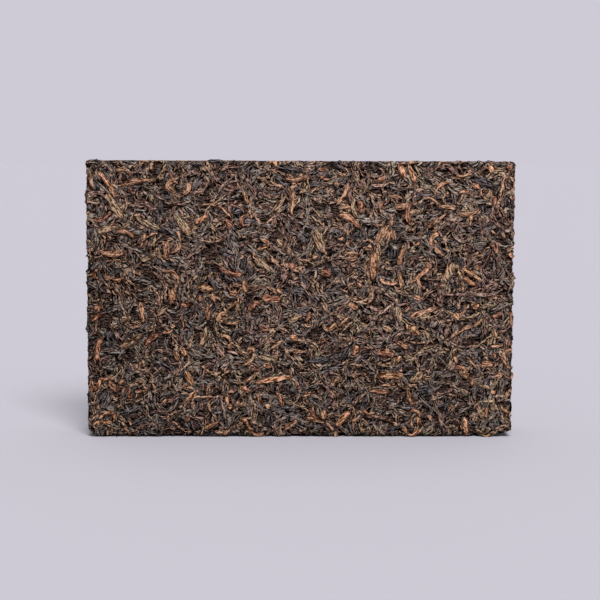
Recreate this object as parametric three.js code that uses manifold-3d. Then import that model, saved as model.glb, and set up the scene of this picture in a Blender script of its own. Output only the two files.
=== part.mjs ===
// A brick of pressed ripe tea: twisted leaves, curls and stems, squeezed in a box mould into one slab.
// Millimetres, +Z up. The brick stands on a long narrow edge, its broad faces towards -Y and +Y, and the
// origin is in the middle of the foot. One mesh: a slab core with worn edges, and the largest leaves and
// stems fused on at true size.

import * as THREE from "three";
import { mergeVertices } from "three/addons/utils/BufferGeometryUtils.js";
import Module from "manifold-3d";

// Driving dimensions of the brick.
const LENGTH = 140;
const THICKNESS = 23;
const HEIGHT = 91;

// The core: how worn its edges are, how deep the hollows between leaves are, and how far apart its points.
const WORN_RADIUS = 1.6;
const HOLLOW_DEPTH = 0.2;
const CELL = 20;

// The lower corner at the +X end has crumbled away: how far along the foot, and how high up the end.
const CRUMBLED = { along: 6.6, up: 2.3 };

// Leaves: how far they stand out of the core, how deep their hidden roots reach, and the sides of a section.
const LEAF_PROUD = 1.0;
const ROOT_DEPTH = 0.45;
const SIDES = 4;

// The largest leaves and stems of the front face. Each runs from one tip, x0 from the middle and z0 above
// the foot, to the other, x1 and z1, and bows to the left of that line by the last number.
// x0, z0, x1, z1, width, bow
const FRONT_LEAVES = [
  // Along the top.
  [-67, 88, -60.5, 78.5, 1.7, 0.6],
  [-64, 81, -58.5, 72, 2.4, 0],
  [-59.5, 82.5, -48, 84.5, 1.8, 1],
  [-54.5, 73, -46, 69, 2, -0.5],
  [-49, 81, -36, 78, 1.3, -2.2],
  [-42.5, 74.5, -41, 69.5, 2.5, 0],
  [-20, 84.5, -27.5, 80.5, 1.3, -1.4],
  [-33.5, 76.5, -23, 72.3, 1.3, 2.2],
  [-6, 86, 2.3, 87, 1.6, -1.5],
  [-3, 82, -3.5, 73, 1.3, -0.2],
  [11.5, 73.5, 18.7, 69, 2.2, 1.5],
  [17, 88, 20, 82, 3.6, 0],
  [31.5, 90, 33.5, 85, 1.8, 0],
  [35, 78, 35, 70.5, 1.4, -1.6],
  [48.7, 84, 43.5, 79.5, 1.3, -2.1],
  [47.5, 74.5, 41, 69.5, 1.6, 0],
  [55, 85.3, 63, 82.5, 2.5, 0.4],
  // Upper middle.
  [-67, 67.3, -60.5, 69.5, 2.4, 0.4],
  [-61, 67.5, -55, 65.5, 1.6, 1.6],
  [-67, 62.3, -58, 62, 1.9, -1.4],
  [-43.8, 65.4, -44.8, 59, 1.9, -0.2],
  [-47, 54.3, -40.3, 50, 1.5, 2.7],
  [-42.5, 49.5, -42.5, 45, 2.2, 0],
  [-27.5, 56.5, -19.3, 54, 1.7, -0.7],
  [-15.5, 60.3, -8.7, 55.3, 2.8, -0.3],
  [3, 69, 4.5, 63.8, 2, -0.4],
  [23.2, 62, 23, 51.8, 2.3, 0.3],
  [25.3, 64.8, 30.5, 66.8, 3.4, 0.3],
  [33.6, 63, 31.7, 57, 1.5, -0.4],
  [25.3, 53.2, 31.5, 51.6, 1.6, -1.3],
  [42, 56.5, 35, 50.8, 1.5, 0],
  [45, 67.5, 42.2, 63.5, 1.4, -1.3],
  [52.3, 56.3, 59.5, 51.5, 2.3, 0.3],
  [50.3, 58, 47.5, 51.5, 2.4, -0.9],
  [56, 48, 66.5, 49.7, 1.3, -1.5],
  // Lower middle.
  [-69, 38.7, -65.5, 40.8, 1.6, 0.3],
  [-65.8, 33.2, -66.6, 25, 1.9, -0.9],
  [-60.5, 30, -52.3, 34.8, 1.9, -1],
  [-53.3, 45.3, -51.8, 37.8, 1.6, 0.1],
  [-51.6, 30.3, -46.8, 34.4, 1.8, 0.5],
  [-31.3, 45.6, -30.9, 38.5, 1.5, 0.3],
  [-31.6, 37, -34.2, 30, 2.1, 0.9],
  [-27.1, 38.1, -24.8, 41, 1.4, 1.4],
  [-29.2, 31.5, -25.7, 26, 3.4, 0],
  [-14.7, 26.9, -7.7, 26.3, 2.3, 0],
  [-17.6, 42, -14, 44.9, 1.5, 0.4],
  [-4.6, 38.7, 0, 41, 1.9, -0.2],
  [7.1, 38, 8.8, 35.2, 1.5, -0.2],
  [11.7, 36.4, 16.5, 40.4, 1.4, 0.2],
  [17, 27.3, 18.5, 30.6, 1.7, 0.3],
  [30.7, 43.8, 32.7, 38.3, 2.5, 0],
  [24.3, 28.5, 30.8, 27.6, 2.5, 0],
  [35.3, 40, 44.8, 43.4, 1.7, 0],
  [48.7, 32.7, 56.3, 37.1, 1.5, 0.9],
  [61.3, 41.3, 66.7, 44.6, 2.1, 0],
  [59.3, 24.9, 63.2, 23.9, 2.2, 0],
  [67, 29, 68.5, 23, 1.6, -0.9],
  // Along the foot.
  [-68.3, 15.4, -66.2, 19.6, 1.6, -0.4],
  [-63.5, 19.2, -59.9, 15.2, 2, -0.3],
  [-66.8, 5.8, -61.8, 7.8, 1.5, 1.2],
  [-42.6, 18, -35.4, 15.2, 1.3, -1.6],
  [-38.3, 22.5, -35.6, 17, 2, -0.3],
  [-15.9, 18.1, -2.7, 20.4, 1.8, 0.2],
  [-20.4, 16.9, -16.9, 14.9, 1.5, 0.2],
  [-24.8, 15, -24.3, 10.5, 1.6, 0],
  [-17.7, 3, -12.6, 3, 1.5, -1.3],
  [-5.1, 1.8, -1.5, 5.5, 1.5, 0.3],
  [2.4, 9.7, 6, 6, 1.8, -0.3],
  [11.5, 3.3, 16.2, 8.7, 2.3, 0.4],
  [25.3, 20.4, 34.1, 20.8, 2.5, 0],
  [21.8, 15.5, 28.7, 15.2, 1.6, 0.1],
  [20.8, 7, 30, 5, 1.4, 0.9],
  [35.3, 18.3, 40.3, 22, 2.4, 0],
  [35.2, 17.3, 37.6, 10.3, 1.5, -0.9],
  [35.9, 8.4, 39.2, 6.5, 1.5, 1.4],
  [44, 16, 53, 20.5, 1.4, 2.5],
  [60.9, 10.3, 60.6, 6.6, 2.4, 0],
  [53.6, 6.7, 54.6, 1.5, 1.6, 0.4],
];

// How many leaves each face carries in all.
const LEAVES_ON = { front: 106, back: 106, top: 20, left: 12, right: 12 };

const wasm = await Module();
wasm.setup();

// A repeatable random number from 0 to 1 (mulberry32).
function randomFrom(seed) {
  let state = seed;
  return () => {
    state = (state + 0x6d2b79f5) | 0;
    let t = Math.imul(state ^ (state >>> 15), 1 | state);
    t = (t + Math.imul(t ^ (t >>> 7), 61 | t)) ^ t;
    return ((t ^ (t >>> 14)) >>> 0) / 4294967296;
  };
}

const random = randomFrom(7581);
const between = (low, high) => low + (high - low) * random();

// A closed mesh as a solid that can be joined and cut.
function solidOf(geometry) {
  const bare = geometry.clone();
  bare.deleteAttribute("normal");
  bare.deleteAttribute("uv");
  const merged = mergeVertices(bare, 1e-4);
  return new wasm.Manifold(
    new wasm.Mesh({
      numProp: 3,
      vertProperties: merged.attributes.position.array,
      triVerts: new Uint32Array(merged.index.array),
    }),
  );
}

function geometryOf(solid) {
  const mesh = solid.getMesh();
  const geometry = new THREE.BufferGeometry();
  geometry.setAttribute("position", new THREE.BufferAttribute(new Float32Array(mesh.vertProperties), 3));
  geometry.setIndex(new THREE.BufferAttribute(new Uint32Array(mesh.triVerts), 1));
  geometry.computeVertexNormals();
  return geometry;
}

// The core: a slab whose corners and edges are worn round, with a random hollow at each point of its grid.
// Its foot is flat.
function coreGeometry() {
  const half = [LENGTH / 2 - LEAF_PROUD, THICKNESS / 2 - LEAF_PROUD, (HEIGHT - LEAF_PROUD) / 2];
  const cells = half.map((h) => Math.round((2 * h) / CELL) + 2);
  const box = new THREE.BoxGeometry(2, 2, 2, ...cells).deleteAttribute("normal").deleteAttribute("uv");
  const geometry = mergeVertices(box, 1e-4);
  // A row of points stands one worn radius in from each edge, and the rest are spread evenly.
  const spread = (t, h, n) => {
    const i = Math.round(((t + 1) / 2) * n);
    if (i === 0 || i === n) return i === 0 ? -h : h;
    return (h - WORN_RADIUS) * (-1 + (2 * (i - 1)) / (n - 2));
  };
  const low = new THREE.Vector3(...half.map((h) => WORN_RADIUS - h));
  const high = low.clone().negate();
  const position = geometry.attributes.position;
  const inner = new THREE.Vector3();
  const out = new THREE.Vector3();
  for (let i = 0; i < position.count; i++) {
    const p = new THREE.Vector3(...half.map((h, k) => spread(position.getComponent(i, k), h, cells[k])));
    const onFoot = p.z < -half[2] + 1e-6;
    inner.copy(p).clamp(low, high);
    out.copy(p).sub(inner).normalize();
    p.copy(inner).addScaledVector(out, WORN_RADIUS - (onFoot ? 0 : HOLLOW_DEPTH * random()));
    position.setXYZ(i, p.x, p.y, p.z + half[2]);
  }
  return geometry;
}

// A face that carries leaves: its origin is at the foot for an upright face, u and v run along it and n out.
const X = new THREE.Vector3(1, 0, 0);
const Y = new THREE.Vector3(0, 1, 0);
const Z = new THREE.Vector3(0, 0, 1);
function upright(u, n, wide, deep) {
  return { u, v: Z, n, wide, tall: HEIGHT, origin: n.clone().multiplyScalar(deep / 2 - LEAF_PROUD) };
}
const FACES = {
  front: upright(X, Y.clone().negate(), LENGTH, THICKNESS),
  back: upright(X.clone().negate(), Y, LENGTH, THICKNESS),
  left: upright(Y.clone().negate(), X.clone().negate(), THICKNESS, LENGTH),
  right: upright(Y, X, THICKNESS, LENGTH),
  top: {
    u: X, v: Y, n: Z, wide: LENGTH, tall: THICKNESS,
    origin: new THREE.Vector3(0, -THICKNESS / 2, HEIGHT - LEAF_PROUD),
  },
};

// A leaf or stem: a tapered strip along an arc on a face, uneven above, rooted in the core, with both tips
// diving under the surface.
function leafGeometry(face, [u0, v0, u1, v1, width, bow]) {
  const chord = Math.hypot(u1 - u0, v1 - v0);
  const heading = Math.atan2(v1 - v0, u1 - u0);
  const opening = 4 * Math.atan((2 * bow) / chord);
  const rings = 2 + Math.round(Math.abs(opening));
  // The point a share s along the arc, a step to its left and a step out of the face.
  const at = (s, side, up) => {
    let along = chord * (s - 0.5);
    let across = side;
    if (Math.abs(opening) > 0.01) {
      const radius = chord / (2 * Math.sin(opening / 2));
      const turned = opening * (s - 0.5);
      along = (radius + side) * Math.sin(turned);
      across = (radius + side) * Math.cos(turned) - radius * Math.cos(opening / 2);
    }
    const u = (u0 + u1) / 2 + along * Math.cos(heading) - across * Math.sin(heading);
    const v = (v0 + v1) / 2 + along * Math.sin(heading) + across * Math.cos(heading);
    const { origin, n } = face;
    return origin.clone().addScaledVector(face.u, u).addScaledVector(face.v, v).addScaledVector(n, up);
  };
  const points = [at(0, 0, -ROOT_DEPTH)];
  for (let k = 1; k <= rings; k++) {
    const s = k / (rings + 1);
    const full = Math.sin(Math.PI * s);
    const crest = LEAF_PROUD * (0.5 + 0.5 * full);
    const half = (width / 2) * (0.55 + 0.45 * full);
    points.push(
      at(s, half, -ROOT_DEPTH),
      at(s, -half, -ROOT_DEPTH),
      at(s, -half * between(0.4, 0.9), crest * between(0.7, 1)),
      at(s, half * between(0.4, 0.9), crest * between(0.7, 1)),
    );
  }
  points.push(at(1, 0, -ROOT_DEPTH));
  const last = points.length - 1;
  const index = [];
  for (let j = 0; j < SIDES; j++) {
    const next = (j + 1) % SIDES;
    index.push(0, 1 + j, 1 + next);
    for (let k = 0; k < rings - 1; k++) {
      const a = 1 + SIDES * k + j;
      const b = 1 + SIDES * k + next;
      index.push(a, b + SIDES, b, a, a + SIDES, b + SIDES);
    }
    index.push(last, last - SIDES + next, last - SIDES + j);
  }
  const geometry = new THREE.BufferGeometry().setFromPoints(points);
  geometry.setIndex(index);
  return geometry;
}

// The leaves of one face: the known ones first, and then others until it carries its number. Each of those
// takes the place, of a few drawn at random, that lies farthest from the leaves already there.
function leavesOn(face, count, known = []) {
  const rows = [...known];
  const taken = known.map(([u0, v0, u1, v1]) => [(u0 + u1) / 2, (v0 + v1) / 2]);
  while (rows.length < count) {
    const length = between(8, 14);
    const turn = between(0, Math.PI);
    const [du, dv] = [(length / 2) * Math.cos(turn), (length / 2) * Math.sin(turn)];
    const marginU = Math.abs(du) + 2;
    const marginV = Math.min(Math.abs(dv) + 2, face.tall / 2);
    const places = Array.from({ length: 24 }, () => [
      between(marginU - face.wide / 2, face.wide / 2 - marginU),
      between(marginV, face.tall - marginV),
    ]);
    const room = ([u, v]) => Math.min(...taken.map(([a, b]) => Math.hypot(a - u, b - v)), 1000);
    const [u, v] = places.reduce((best, place) => (room(place) > room(best) ? place : best));
    taken.push([u, v]);
    rows.push([u - du, v - dv, u + du, v + dv, between(2, 3.4), between(-2.5, 2.5)]);
  }
  return rows.map((row) => solidOf(leafGeometry(face, row)));
}

function teaBrick() {
  const leaves = Object.entries(LEAVES_ON).flatMap(([name, count]) =>
    leavesOn(FACES[name], count, name === "front" ? FRONT_LEAVES : []),
  );
  const joined = leaves.reduce((whole, leaf) => whole.add(leaf), solidOf(coreGeometry()));
  // What lies under the foot is cut flat, and the crumbled corner by a slope.
  const floor = new THREE.BoxGeometry(2 * LENGTH, 2 * LENGTH, HEIGHT).translate(0, 0, -HEIGHT / 2);
  const slope = floor
    .clone()
    .rotateY(-Math.atan2(CRUMBLED.up, CRUMBLED.along))
    .translate(LENGTH / 2 - CRUMBLED.along, 0, 0);
  return joined.subtract(solidOf(floor)).subtract(solidOf(slope));
}

// Settles the origin in the middle of the foot, as leaves at the ends don't stand equally far out.
function centred(geometry) {
  geometry.computeBoundingBox();
  const { min, max } = geometry.boundingBox;
  return geometry.translate(-(min.x + max.x) / 2, -(min.y + max.y) / 2, -min.z);
}

const pressedLeaf = new THREE.MeshStandardMaterial({ color: 0x4a3a30, roughness: 0.72, metalness: 0 });

const brick = new THREE.Mesh(centred(geometryOf(teaBrick())), pressedLeaf);
brick.name = "tea_brick";

const part = new THREE.Group();
part.add(brick);

export default part;
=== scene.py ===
"""Looks of the pressed tea brick: leaves, stems and crumbs laid over a core, each kind one mesh.

The sizes below are in millimetres, in the frame of the CAD model: +X along the brick, +Z up, the front
face towards -Y. Meshes are made in metres.
"""

import math

import bpy
import numpy as np
from mathutils import Matrix, Vector, noise


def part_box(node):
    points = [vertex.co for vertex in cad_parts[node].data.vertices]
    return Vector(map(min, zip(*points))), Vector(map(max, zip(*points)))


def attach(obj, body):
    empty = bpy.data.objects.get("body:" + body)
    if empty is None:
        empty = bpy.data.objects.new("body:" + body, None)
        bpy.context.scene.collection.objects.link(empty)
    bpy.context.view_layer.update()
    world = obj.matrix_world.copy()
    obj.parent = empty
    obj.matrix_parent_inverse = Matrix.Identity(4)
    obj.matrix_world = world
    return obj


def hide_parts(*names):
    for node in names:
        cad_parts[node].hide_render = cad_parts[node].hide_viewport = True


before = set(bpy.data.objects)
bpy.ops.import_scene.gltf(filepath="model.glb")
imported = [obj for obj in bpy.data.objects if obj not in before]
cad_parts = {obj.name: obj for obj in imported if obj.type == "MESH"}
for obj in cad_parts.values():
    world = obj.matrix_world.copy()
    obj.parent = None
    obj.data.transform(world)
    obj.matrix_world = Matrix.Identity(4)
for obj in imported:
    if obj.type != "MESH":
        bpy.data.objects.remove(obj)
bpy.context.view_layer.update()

MM = 0.001
LOW, HIGH = (np.array(corner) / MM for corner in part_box("tea_brick"))
rng = np.random.default_rng(7582)

# The bed is the surface that leaves lie on: the brick's box, worn round, and this far in from each end,
# from the faces and the foot, and from the top. Where nothing lies on it, it is bare this much lower.
END_DEPTH, BED_DEPTH, TOP_DEPTH = 0.6, 1.0, 0.75
BED_LOW = LOW + (END_DEPTH, BED_DEPTH, BED_DEPTH)
BED_HIGH = HIGH - (END_DEPTH, BED_DEPTH, TOP_DEPTH)
BED_RADIUS = 0.45
BARE_DEPTH = 0.1

# The lower corners are gone, crumbled at the +X end and worn at the -X end: how far along the foot, and
# how high up the end.
CRUMBLED_ALONG, CRUMBLED_UP = 6.6, 2.3
WORN_ALONG, WORN_UP = 2.4, 2.6

# The heights of what lies on the bed are kept in square cells of this size.
CELL = 0.5

# The kinds of leaf. length, width and thick are ranges; turn is how far a leaf bends from tip to tip, in
# radians, as a spread, crook how unevenly, and curls the share of tight hooks; steps is how many there are
# along half its tube, and sides how many round it; pleats is how deep its folds are, as a share; twist is
# how far they wind round it, in radians; taper is a range from blunt to pointed tips; late is how late the
# kind is laid, and so how near the surface it lies; palest is the highest tone that is drawn at random.
KINDS = {
    "dark_leaves": dict(count=1300, length=(7, 15), width=(1.5, 2.9), thick=(0.8, 1.2), turn=0.9, crook=0.3,
                        curls=0.12, steps=4, sides=8, pleats=0.7, twist=1.4, taper=(0.2, 0.6), late=0.5,
                        palest=1.0),
    "brown_leaves": dict(count=1080, length=(9, 19), width=(1.1, 2.2), thick=(0.7, 1.0), turn=1.6, crook=0.35,
                         curls=0.25, steps=6, sides=8, pleats=0.65, twist=1.4, taper=(0.2, 0.6), late=0.55,
                         palest=1.0),
    "short_leaves": dict(count=3000, length=(2.4, 6), width=(0.7, 1.7), thick=(0.5, 0.9), turn=0.8, crook=0.3,
                         curls=0.1, steps=3, sides=6, pleats=0.6, twist=1.0, taper=(0.2, 0.7), late=0.15,
                         palest=0.95),
    "broad_leaves": dict(count=750, length=(3.5, 8), width=(2.0, 3.8), thick=(0.4, 0.7), turn=0.5, crook=0.3,
                         curls=0.0, steps=4, sides=10, pleats=0.6, twist=0.5, taper=(0.2, 0.5), late=0.35,
                         palest=1.0),
    "bud_leaves": dict(count=720, length=(3, 9), width=(0.9, 1.7), thick=(0.6, 0.9), turn=1.2, crook=0.3,
                       curls=0.3, steps=4, sides=8, pleats=0.55, twist=1.0, taper=(0.2, 0.6), late=0.8,
                       palest=1.0),
    "strands": dict(count=1000, length=(5, 13), width=(0.5, 1.0), thick=(0.4, 0.6), turn=1.8, crook=0.35,
                    curls=0.45, steps=5, sides=4, pleats=0.2, twist=1.0, taper=(0.2, 0.5), late=0.5,
                    palest=0.45),
}

# Short leaves lie only in hollows that are at least this deep.
HOLLOW_DEPTH = 0.5

# Colours that the leaves of the front face are named by: the kind of leaf, and the place in its ramp.
TONES = {
    "black": ("dark_leaves", 0.05),
    "grey": ("dark_leaves", 0.6),
    "brown": ("brown_leaves", 0.4),
    "rust": ("bud_leaves", 0.08),
    "orange": ("bud_leaves", 0.3),
    "tan": ("bud_leaves", 0.5),
    "gold": ("bud_leaves", 0.7),
    "khaki": ("bud_leaves", 0.92),
    "pink": ("strands", 0.55),
    "straw": ("strands", 0.9),
}

# The leaves named below lie this much to the right of, and below, the places noted for them, and are this
# many times as wide.
FRONT_RIGHT, FRONT_DOWN, FRONT_WIDER = 0.45, 0.15, 1.2

# The leaves that stand out on the front face. Each runs from one tip, x0 from the middle and z0 above the
# foot, to the other, x1 and z1. Those that aren't straight bow to the left of that line by the last number.
# tone, x0, z0, x1, z1, width, bow
FRONT_LEAVES = [
    # Along the top, from the left.
    ("straw", -67, 88.5, -62.3, 87, 0.9, 2), ("orange", -67, 88, -60.5, 78.5, 1.5, 0.6),
    ("tan", -69.3, 89, -67.5, 81.5, 1.2, -0.6), ("black", -68, 86, -66.5, 81, 1.8),
    ("khaki", -64, 81, -58.5, 72, 2.3), ("rust", -62, 74.5, -68.5, 71.5, 1.2, 1),
    ("tan", -59.5, 82.5, -48, 84.5, 1.8, 1), ("rust", -57, 82.5, -56, 81, 1),
    ("tan", -61, 87.5, -55.5, 85.5, 1, 1.8), ("khaki", -54.5, 73, -46, 69, 2, -0.5),
    ("brown", -49, 81, -36, 78, 1.1, -2.2), ("tan", -44, 81.5, -40.5, 83.5, 1.2, 1.8),
    ("tan", -43.5, 84.5, -41, 81, 1, -1.2), ("orange", -37.5, 84.5, -39, 80.2, 1.2, 1.3),
    ("rust", -43, 87, -42, 84.5, 1), ("khaki", -42.3, 74.4, -36.1, 66.3, 2.4, 0.3),
    ("grey", -58.5, 89, -55, 86.5, 1.6), ("straw", -52, 81.3, -50.7, 80, 0.8),
    ("pink", -28.7, 86.3, -20, 88.5, 1, 1.8), ("black", -31.5, 91.3, -25.5, 90, 1.5, 0.2),
    ("straw", -22.5, 86, -27.5, 81.5, 0.7, -0.2), ("straw", -20, 84.5, -27.5, 80.5, 1, -1.4),
    ("gold", -19.5, 81.5, -17.8, 77, 1.2), ("tan", -33.5, 76.5, -23, 72.3, 0.9, 2.2),
    ("orange", -31, 73.5, -35, 70.5, 2), ("rust", -25, 72.5, -23, 69, 1.8),
    ("rust", -17.5, 73.3, -19, 69.5, 1.2, -1.6), ("pink", -14.3, 76.7, -11.2, 75, 0.7),
    ("khaki", -5, 80.5, -10.5, 74, 1.4, 0.3), ("tan", -6, 86, 2.3, 87, 1.5, -1.5),
    ("gold", -3, 82, -3.5, 73, 1.1, -0.2), ("straw", -4.8, 74, 0, 71.2, 0.6, -0.8),
    ("black", -9, 89.5, 0, 88, 1), ("khaki", -9, 73.5, -6, 76.5, 1),
    ("orange", 11.5, 73.5, 18.7, 69, 2, 1.5), ("tan", 15, 84.5, 11, 76.8, 1.2, 0.8),
    ("tan", 11.5, 76, 16.5, 76, 0.8), ("rust", 18, 78.5, 19, 74, 2.2, 0.8),
    ("brown", 17, 88, 20, 82, 3.8), ("tan", 11.5, 87.5, 14, 86, 1.2),
    ("rust", 5, 88.7, 8, 88, 1), ("rust", 5, 86, 9, 85, 1),
    ("rust", 27.5, 86.5, 24, 84.5, 1.2), ("pink", 22, 83.8, 28.5, 84.3, 0.8, -0.8),
    ("orange", 31.5, 90.3, 33.5, 85.5, 1.8), ("orange", 34.5, 90.3, 36.8, 84, 1.5),
    ("tan", 27.5, 79.8, 33, 78.8, 1, 0.4), ("tan", 30, 76, 35, 77, 1.8),
    ("rust", 28.5, 78, 26.5, 73.7, 0.9, -2.1), ("tan", 29.3, 73.2, 29.5, 70, 1.2),
    ("rust", 36.1, 78.1, 35.7, 69.9, 1.3, -1.5), ("khaki", 16.8, 79.5, 18, 72.5, 1.2, -0.7),
    ("orange", 48.7, 84, 43.5, 79.5, 0.9, -2.1), ("tan", 40, 79.5, 45, 75.5, 1, 1.2),
    ("tan", 45, 76.3, 50.5, 75.8, 1.5, 0.4), ("tan", 47.5, 74.5, 41, 69.5, 1.5),
    ("tan", 58, 76, 50.5, 74.5, 1.2, 1.2), ("tan", 57.5, 74.8, 55.3, 70, 1, -1.3),
    ("tan", 56, 88.3, 50, 86, 1, 0.6), ("black", 55, 85.3, 63, 82.5, 2.5, 0.4),
    ("rust", 55.5, 84, 58, 82, 1.8), ("rust", 51, 80.8, 55, 81.3, 0.8, 0.4),
    ("orange", 61.3, 90, 62, 87.5, 1.5), ("rust", 67, 90, 68.3, 88.5, 1.2),
    ("khaki", 61, 82, 61, 79, 2), ("rust", 63, 80, 63, 77, 1.2),
    # Upper middle.
    ("khaki", -67, 67.3, -60.5, 69.5, 2.4, 0.4), ("tan", -61, 67.5, -55, 65.5, 1.5, 1.6),
    ("tan", -67, 62.3, -58, 62, 1.8, -1.4), ("tan", -43.8, 65.4, -44.8, 59, 1.8, -0.2),
    ("tan", -44.3, 65, -42.3, 65.2, 1, 0.5), ("tan", -47, 54.3, -40.3, 50, 1.3, 2.7),
    ("pink", -49, 55.2, -43, 51, 1, -0.3), ("orange", -42.5, 49.5, -42.5, 45, 2.2),
    ("orange", -66.5, 55.5, -66.5, 52.5, 0.8, -1.5), ("tan", -65, 52.8, -61.5, 53.8, 1, -0.5),
    ("rust", -62, 52.5, -59, 53.5, 1.2, -1), ("straw", -61.5, 56.5, -58.5, 57, 0.8, -0.7),
    ("tan", -55.5, 57, -55.3, 52.5, 0.9, 0.2), ("khaki", -56, 50.5, -54.5, 49, 0.8, 1.2),
    ("straw", -57.5, 50.3, -56, 48.5, 0.7), ("tan", -62.5, 50.5, -58.5, 45.8, 0.8, 0.3),
    ("straw", -68.5, 51, -66.5, 50.5, 0.7), ("grey", -60, 63.5, -48, 59.5, 1.2, 0.6),
    ("khaki", -53, 58.5, -47.5, 60.5, 1.5), ("black", -46, 57, -40, 57, 2, 0.5),
    ("tan", -51, 66, -47, 67.5, 0.8, 0.3), ("pink", -54, 62.8, -50.4, 65.5, 0.8, -0.8),
    ("tan", -41, 68.5, -39.5, 64.5, 1), ("tan", -39.5, 64.5, -43, 61, 1, 0.6),
    ("khaki", -47.3, 63, -47, 60.3, 1.4), ("straw", -38.5, 56, -36.7, 58.7, 0.7),
    ("pink", -34, 65.8, -25.5, 66, 0.7, -1.3), ("orange", -14, 65.2, -11.2, 63, 1, 1.2),
    ("orange", -11.2, 63, -14.5, 62, 1, -0.4), ("khaki", -15.4, 59.7, -8.9, 54.8, 2.6, -0.3),
    ("rust", -27.5, 56.5, -19.3, 54, 1.6, -0.7), ("orange", -19.2, 52.3, -18.5, 48, 1.5),
    ("straw", -27.2, 60.3, -24.8, 56, 1, 0.8), ("gold", -36, 49.8, -28.7, 49, 2, 0.3),
    ("orange", -29.3, 48, -29, 44.8, 1.6), ("rust", -33.5, 47.5, -33.3, 45, 1.3),
    ("rust", -24, 48, -21, 47.8, 2), ("tan", -12.3, 50, -8, 47.7, 0.9, 0.5),
    ("rust", -13.5, 46.5, -6.5, 46, 2.4), ("tan", -8, 49.5, -6.5, 47.5, 1.5),
    ("straw", -9.7, 63.5, -5.2, 60.4, 0.8), ("pink", -6.7, 58.5, -4.8, 56, 0.7),
    ("rust", -5, 57, -1.5, 57, 2), ("khaki", -8, 66, -6.8, 63, 2),
    ("black", -19, 60.5, -19, 55, 2.2), ("brown", -3.5, 54, -1.5, 52.5, 1.8),
    ("khaki", 4.2, 69.5, 6.8, 61, 3),
    ("pink", 5.3, 64.3, 8, 60.5, 0.6), ("gold", 3.5, 59.2, 5.2, 60.3, 1.4),
    ("rust", 6, 55.3, 9.5, 54.3, 2.4), ("straw", 8.3, 56.2, 9.6, 55, 0.6),
    ("gold", 11.8, 65.8, 13.7, 65.9, 1.1), ("orange", 23.2, 62, 23, 51.8, 2.2, 0.3),
    ("tan", 20.5, 62, 23, 62.8, 1.2, 0.5), ("tan", 27.4, 70.7, 23.2, 64.3, 1.1, 0.3),
    ("gold", 28.4, 70.6, 25.3, 64, 1.2), ("tan", 29.3, 69.6, 27.4, 64, 1.2),
    ("tan", 30, 68.9, 30.2, 65.3, 1.1),
    ("straw", 20, 63, 15.5, 57, 0.7, 1.3), ("tan", 13.5, 60.3, 18.7, 60.5, 1, 0.6),
    ("tan", 15.3, 59, 18.5, 59.5, 1.1), ("tan", 15.8, 57.4, 17.5, 57.2, 1.3),
    ("straw", 11, 58, 15, 57.3, 0.7, -0.7), ("straw", 13, 53.5, 14.5, 50.5, 0.7, -0.3),
    ("black", 15, 66.3, 20, 66.1, 1.5, 0.5), ("orange", 33.6, 63, 31.7, 57, 1.3, -0.4),
    ("gold", 32, 55.3, 32.6, 49, 1.1), ("tan", 25.3, 53.2, 31.5, 51.6, 1.5, -1.3),
    ("orange", 18, 51.7, 19.5, 50, 1.2), ("tan", 15.7, 51, 17, 51, 1.2),
    ("khaki", 27, 56.3, 30, 56, 1.3), ("black", 28.5, 59, 30.5, 63, 3),
    ("straw", 2.8, 50, 5.7, 45.5, 0.7), ("tan", 12.5, 49.2, 15, 48.2, 0.8),
    ("tan", 39.3, 68.5, 38.4, 66, 0.8), ("tan", 36.3, 65, 38.4, 65, 0.8, -1),
    ("orange", 45, 67.5, 42.2, 63.5, 1.2, -1.3), ("gold", 43.2, 65.3, 44, 64.5, 0.9),
    ("tan", 43, 63, 46.7, 60.2, 1.3), ("grey", 38.5, 63.5, 41.5, 59, 0.9),
    ("tan", 40.2, 58.5, 42.5, 56, 1.3), ("orange", 42, 56.5, 35, 50.8, 1.3),
    ("tan", 38.3, 53.5, 41, 49.5, 1, -1.3), ("gold", 52.3, 56.4, 59.5, 51.6, 1.5, 0.3),
    ("orange", 52.6, 53.4, 58.3, 50.2, 1.7), ("khaki", 50.3, 58, 47.5, 51.5, 2.4, -0.9),
    ("khaki", 50.5, 57.8, 53, 52, 1.8), ("tan", 56.8, 57.3, 57.9, 55.5, 1.5),
    ("straw", 56, 48, 66.5, 49.7, 0.9, -1.5), ("brown", 66.5, 56, 67.5, 48, 1, 1.7),
    ("rust", 63.3, 65, 64, 61, 2), ("tan", 68, 61, 69, 60, 1.5),
    ("tan", 65.5, 68, 66.6, 65.8, 1), ("grey", 56, 63.5, 60.5, 64.5, 3.6),
    ("straw", 49.3, 68.5, 55.5, 66.7, 0.8, -2.6), ("tan", 44.8, 50.4, 46.8, 50.2, 0.9),
    ("orange", 36.5, 47.2, 39.7, 45.8, 1.5),
    # Lower middle.
    ("rust", -68.2, 42.3, -65.5, 43.7, 2), ("orange", -69.3, 38.3, -65.5, 40.8, 1.3, 0.4),
    ("orange", -65.8, 33.2, -66.6, 25, 1.8, -0.9), ("straw", -63.7, 37.5, -60.7, 31, 0.6, 1),
    ("straw", -60.8, 31, -65.5, 29, 0.6, 1.2), ("khaki", -60.5, 30, -52.3, 34.8, 1.8, -1),
    ("gold", -53.3, 45.3, -51.8, 37.8, 1.4, 0.1), ("khaki", -59.3, 39.3, -57.3, 39.8, 2),
    ("straw", -58, 33.8, -57.1, 35.4, 1.1), ("rust", -51.6, 30.3, -46.8, 34.4, 1.7, 0.5),
    ("rust", -46, 34.7, -42, 36, 0.8, -0.3), ("pink", -47.6, 36.6, -44.5, 38, 0.9, -0.4),
    ("khaki", -47, 40, -44.3, 40.5, 0.8, 1.2), ("gold", -42.9, 37.6, -42.2, 36.4, 1.3),
    ("grey", -44.5, 43, -39.8, 42.3, 0.9, -1.2), ("rust", -39.9, 44, -36.4, 44, 1.5),
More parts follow.
